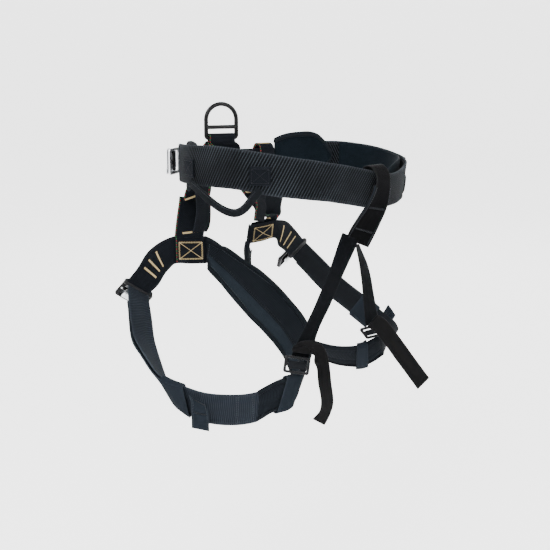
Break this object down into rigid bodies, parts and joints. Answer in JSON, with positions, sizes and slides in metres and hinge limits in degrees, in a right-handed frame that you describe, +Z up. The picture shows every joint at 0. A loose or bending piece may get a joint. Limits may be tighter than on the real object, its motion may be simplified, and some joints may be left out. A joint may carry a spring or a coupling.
{
  "type": "tree climbing saddle",
  "caption": "Sit harness of stiff black webbing: wide waist belt with front D-ring, padded leg loops joined by risers, steel buckles and adjustable rear straps.",
  "frame": {"origin": "middle of the waist opening, level with the middle of the belt", "axes": "+X to the wearer's left, -Y to the wearer's front, +Z up"},
  "size_m": [0.5154, 0.3381, 0.4291],
  "materials": {
    "webbing_black": "stiff woven polyester webbing",
    "webbing_grey": "worn woven webbing",
    "loop_webbing": "folded and stitched webbing",
    "padding": "padded woven cover with bound edges",
    "lining": "soft spacer mesh",
    "steel": "satin plated",
    "dark_steel": "dark plated"
  },
  "bodies": {
    "saddle": {"waist_belt_webbing": "webbing_black", "waist_belt_lining": "lining", "hip_pad_right": "padding", "hip_pad_left": "padding", "belt_closure_strap": "webbing_black", "gear_tab_front_left": "webbing_black", "gear_tab_rear_left": "webbing_black", "gear_tab_front_right": "webbing_black", "gear_tab_rear_right": "webbing_black", "d_ring_strap_right": "webbing_black", "d_ring_strap_left": "webbing_black", "riser_left": "webbing_black", "riser_tunnel_left": "webbing_black", "leg_yoke_left": "webbing_black", "leg_pad_left": "padding", "leg_strap_left": "webbing_grey", "riser_right": "webbing_black", "riser_tunnel_right": "webbing_black", "leg_yoke_right": "webbing_black", "leg_pad_right": "padding", "leg_strap_right": "webbing_grey", "leg_buckle_frame_left": "dark_steel", "leg_strap_tail_left": "webbing_grey", "leg_strap_keeper_left": "webbing_grey", "leg_tail_end_left": "webbing_grey", "pad_band_left": "webbing_grey", "leg_buckle_frame_right": "dark_steel", "leg_strap_tail_right": "webbing_grey", "leg_strap_keeper_right": "webbing_grey", "leg_tail_end_right": "webbing_grey", "pad_band_right": "webbing_grey", "belt_buckle_frame": "steel", "rear_hanger": "webbing_black", "rear_strap_left": "webbing_black", "rear_strap_right": "webbing_black"},
    "d_ring": {"d_ring": "dark_steel"},
    "gear_loop_left": {"gear_loop_left": "loop_webbing"},
    "gear_loop_right": {"gear_loop_right": "loop_webbing"},
    "ladder_lock_left": {"ladder_lock_left": "dark_steel"},
    "rear_tail_left": {"rear_tail_left": "webbing_grey"},
    "leg_buckle_bar_left": {"leg_buckle_bar_left": "dark_steel"},
    "ladder_lock_right": {"ladder_lock_right": "dark_steel"},
    "rear_tail_right": {"rear_tail_right": "webbing_grey"},
    "leg_buckle_bar_right": {"leg_buckle_bar_right": "dark_steel"},
    "belt_buckle_bar": {"belt_buckle_bar": "dark_steel"}
  },
  "joints": [
    {"name": "d_ring_pivot", "type": "hinge", "parent": "saddle", "child": "d_ring", "pos_m": [0, -0.147, 0.03645], "axis": [-0.8829, 0.4695, 0], "range_deg": [-75, 75]},
    {"name": "gear_loop_left_swing", "type": "hinge", "parent": "saddle", "child": "gear_loop_left", "pos_m": [0.17095, 0.035, -0.00645], "axis": [0.2416, -0.9701, 0.0233], "range_deg": [0, 40]},
    {"name": "gear_loop_right_swing", "type": "hinge", "parent": "saddle", "child": "gear_loop_right", "pos_m": [-0.17315, 0.035, -0.01395], "axis": [0.2416, 0.9701, -0.0233], "range_deg": [0, 40]},
    {"name": "ladder_lock_left_pivot", "type": "hinge", "parent": "saddle", "child": "ladder_lock_left", "pos_m": [0.09715, 0.10092, -0.2454], "axis": [0.6528, -0.7448, 0.138], "range_deg": [0, 20]},
    {"name": "rear_tail_left_lift", "type": "hinge", "parent": "saddle", "child": "rear_tail_left", "pos_m": [0.0949, 0.1056, -0.2388], "axis": [0.6553, -0.7443, 0.129], "range_deg": [0, 30]},
    {"name": "leg_buckle_bar_left_slide", "type": "slide", "parent": "saddle", "child": "leg_buckle_bar_left", "axis": [0.3899, -0.5302, -0.7529], "range_m": [-0.007, 0.007]},
    {"name": "ladder_lock_right_pivot", "type": "hinge", "parent": "saddle", "child": "ladder_lock_right", "pos_m": [-0.09868, 0.07364, -0.24672], "axis": [-0.1949, 0.9128, 0.3589], "range_deg": [0, 20]},
    {"name": "rear_tail_right_lift", "type": "hinge", "parent": "saddle", "child": "rear_tail_right", "pos_m": [-0.0827, 0.0908, -0.231], "axis": [0.558, -0.355, -0.75], "range_deg": [0, 30]},
    {"name": "leg_buckle_bar_right_slide", "type": "slide", "parent": "saddle", "child": "leg_buckle_bar_right", "axis": [-0.385, -0.5603, -0.7334], "range_m": [-0.007, 0.007]},
    {"name": "belt_buckle_bar_slide", "type": "slide", "parent": "saddle", "child": "belt_buckle_bar", "axis": [0.9057, 0.4239, 0], "range_m": [-0.009, 0.009]}
  ]
}
